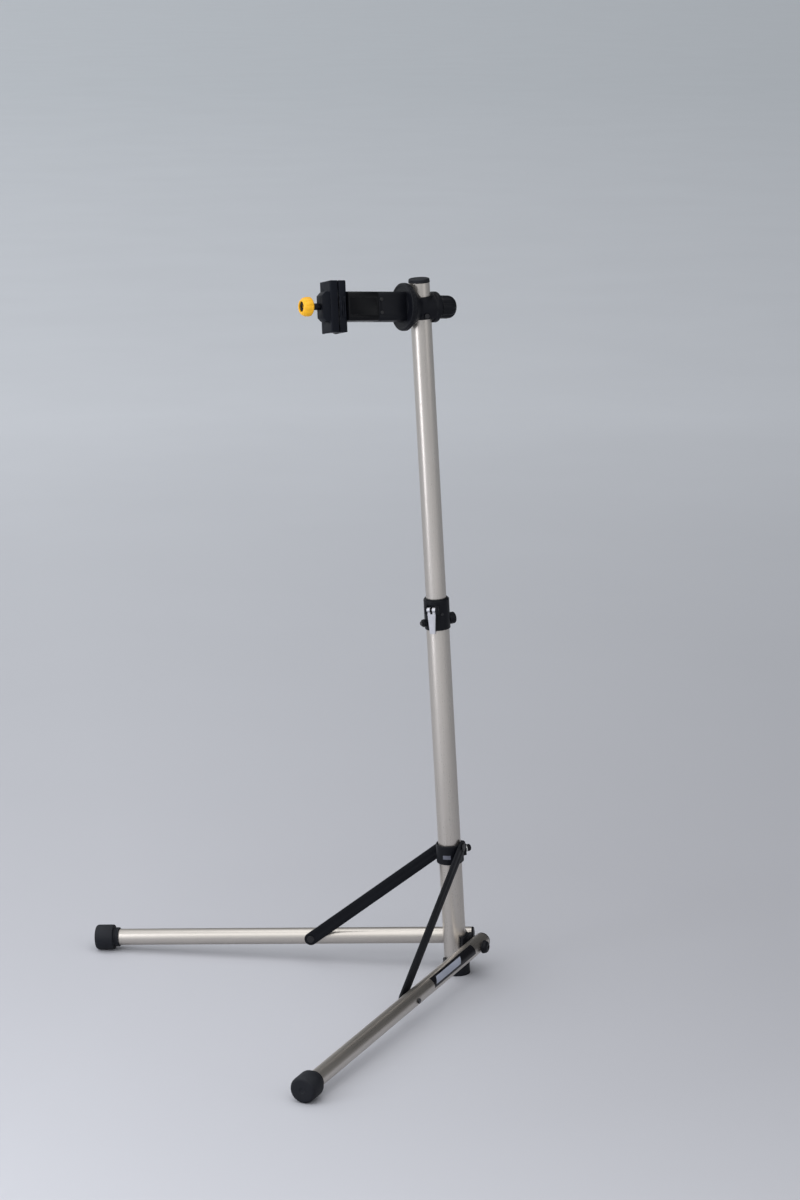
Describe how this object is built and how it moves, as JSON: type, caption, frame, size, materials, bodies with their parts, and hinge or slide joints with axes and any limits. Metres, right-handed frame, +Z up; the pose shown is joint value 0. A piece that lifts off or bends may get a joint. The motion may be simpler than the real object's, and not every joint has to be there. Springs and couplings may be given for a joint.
{
  "type": "bike repair stand",
  "caption": "Folding bike repair stand: leaning telescopic post, splayed legs braced by a sliding collar, and a turning arm with seat-post jaws.",
  "frame": {"origin": "centre of the post foot, on the floor", "axes": "+Z up, +X from the post along the bisector of the two legs (the way the arm points), +Y to the left leg's side"},
  "size_m": [0.7339, 1.1002, 1.5849],
  "materials": {
    "anodised_tube": "satin champagne anodising",
    "black_steel": "satin black powder coat",
    "black_nylon": "fine moulded texture",
    "black_rubber": "matte",
    "zinc_steel": "zinc plated",
    "black_screw": "black oxide",
    "polished_aluminium": "brushed",
    "brass": "machined",
    "yellow_plastic": "semi-gloss moulded"
  },
  "bodies": {
    "base": {"lower_tube": "anodised_tube", "post_foot": "black_rubber", "hub_bracket": "black_steel", "bracket_rivets": "black_screw", "foot_bolt": "black_screw", "leg_pivot_bolts": "zinc_steel", "leg_pivot_caps": "black_nylon", "leg_pivot_spacers": "black_nylon", "height_clamp": "black_nylon", "clamp_screws": "black_screw", "lever_pin": "black_screw", "clamp_liner": "black_nylon", "pressure_shoe": "black_nylon"},
    "left_leg": {"left_leg_tube": "anodised_tube", "left_leg_plug": "black_nylon", "left_leg_foot": "black_rubber", "left_brace_saddle": "zinc_steel", "left_brace_bolt": "black_screw"},
    "right_leg": {"right_leg_tube": "anodised_tube", "right_leg_plug": "black_nylon", "right_leg_foot": "black_rubber", "right_brace_saddle": "zinc_steel", "right_brace_bolt": "black_screw"},
    "collar": {"fold_collar": "black_nylon", "brace_pivot_pins": "black_screw"},
    "left_brace_bar": {"left_brace": "black_steel", "left_brace_rivet": "zinc_steel"},
    "right_brace_bar": {"right_brace": "black_steel", "right_brace_rivet": "zinc_steel"},
    "lock_screw": {"collar_lock_screw": "zinc_steel", "collar_lock_ring": "zinc_steel", "collar_lock_knob": "black_nylon"},
    "lever": {"height_lever": "polished_aluminium"},
    "glide": {"mast_glide": "black_nylon"},
    "mast": {"mast_tube": "anodised_tube", "mast_cap": "black_nylon", "head_housing": "black_steel", "head_bolt": "black_screw", "head_nut": "black_screw", "thrust_washer": "zinc_steel"},
    "arm": {"index_disc": "black_steel", "arm_body": "black_steel", "arm_spindle": "zinc_steel", "jaw_carrier": "black_nylon", "arm_screws": "black_screw", "clamp_nut": "brass", "fixed_jaw": "black_nylon", "jaw_screws": "black_screw", "fixed_jaw_pad": "black_rubber"},
    "tension": {"tension_knob": "black_nylon", "tension_knob_insert": "brass"},
    "jaw": {"moving_jaw": "black_nylon", "moving_jaw_pad": "black_rubber", "guide_rods": "zinc_steel", "jaw_end_plate": "black_nylon"},
    "clamp_handle": {"clamp_screw": "black_screw", "thrust_sleeve": "black_nylon", "clamp_knob": "yellow_plastic", "knob_plug": "black_nylon"}
  },
  "joints": [
    {"name": "left_leg_fold", "type": "hinge", "parent": "base", "child": "left_leg", "pos_m": [-0.02587, 0.04228, 0.07085], "axis": [0.581, -0.8131, -0.0366], "range_deg": [0, 78]},
    {"name": "right_leg_fold", "type": "hinge", "parent": "base", "child": "right_leg", "pos_m": [-0.02587, -0.04228, 0.07085], "axis": [-0.581, -0.8131, 0.0366], "range_deg": [0, 78]},
    {"name": "collar_slide", "type": "slide", "parent": "base", "child": "collar", "axis": [0.0628, 0, 0.998], "range_m": [0, 0.49501]},
    {"name": "left_brace_fold", "type": "hinge", "parent": "collar", "child": "left_brace_bar", "pos_m": [0.00095, 0.02521, 0.30254], "axis": [-0.581, 0.8131, 0.0366], "range_deg": [0, 45.29]},
    {"name": "right_brace_fold", "type": "hinge", "parent": "collar", "child": "right_brace_bar", "pos_m": [0.00095, -0.02521, 0.30254], "axis": [0.581, 0.8131, -0.0366], "range_deg": [0, 45.29]},
    {"name": "lock_screw_turn", "type": "hinge", "parent": "collar", "child": "lock_screw", "pos_m": [-0.0199, 0, 0.28882], "axis": [-0.998, 0, 0.0628], "range_deg": [0, 720]},
    {"name": "height_lever_swing", "type": "hinge", "parent": "base", "child": "lever", "pos_m": [0.08009, 0.02455, 0.85366], "axis": [0.6807, -0.7314, -0.0428], "range_deg": [0, 110]},
    {"name": "mast_slide", "type": "slide", "parent": "base", "child": "glide", "axis": [0.0628, 0, 0.998], "range_m": [-0.455, 0]},
    {"name": "mast_swivel", "type": "hinge", "parent": "glide", "child": "mast", "pos_m": [0.04835, 0, 0.76848], "axis": [0.0628, 0, 0.998], "continuous": true},
    {"name": "arm_turn", "type": "hinge", "parent": "mast", "child": "arm", "pos_m": [0.0953, 0, 1.5147], "axis": [0.9979, 0, 0.0645], "continuous": true},
    {"name": "tension_knob_turn", "type": "hinge", "parent": "arm", "child": "tension", "pos_m": [0.0953, 0, 1.5147], "axis": [0.9979, 0, 0.0645], "range_deg": [-720, 0]},
    {"name": "jaw_slide", "type": "slide", "parent": "arm", "child": "jaw", "axis": [0.9979, 0, 0.0645], "range_m": [0, 0.036]},
    {"name": "clamp_knob_turn", "type": "hinge", "parent": "jaw", "child": "clamp_handle", "pos_m": [0.0953, 0, 1.5147], "axis": [0.9979, 0, 0.0645], "range_deg": [0, 3240]}
  ],
  "couplings": [
    {"joint": "right_leg_fold", "follows": "left_leg_fold", "ratio": 1},
    {"joint": "collar_slide", "follows": "left_leg_fold", "m_per_rad": 0.36362},
    {"joint": "left_brace_fold", "follows": "left_leg_fold", "ratio": 0.58065},
    {"joint": "right_brace_fold", "follows": "left_leg_fold", "ratio": 0.58065},
    {"joint": "clamp_knob_turn", "follows": "jaw_slide", "rad_per_m": 1570.8}
  ]
}
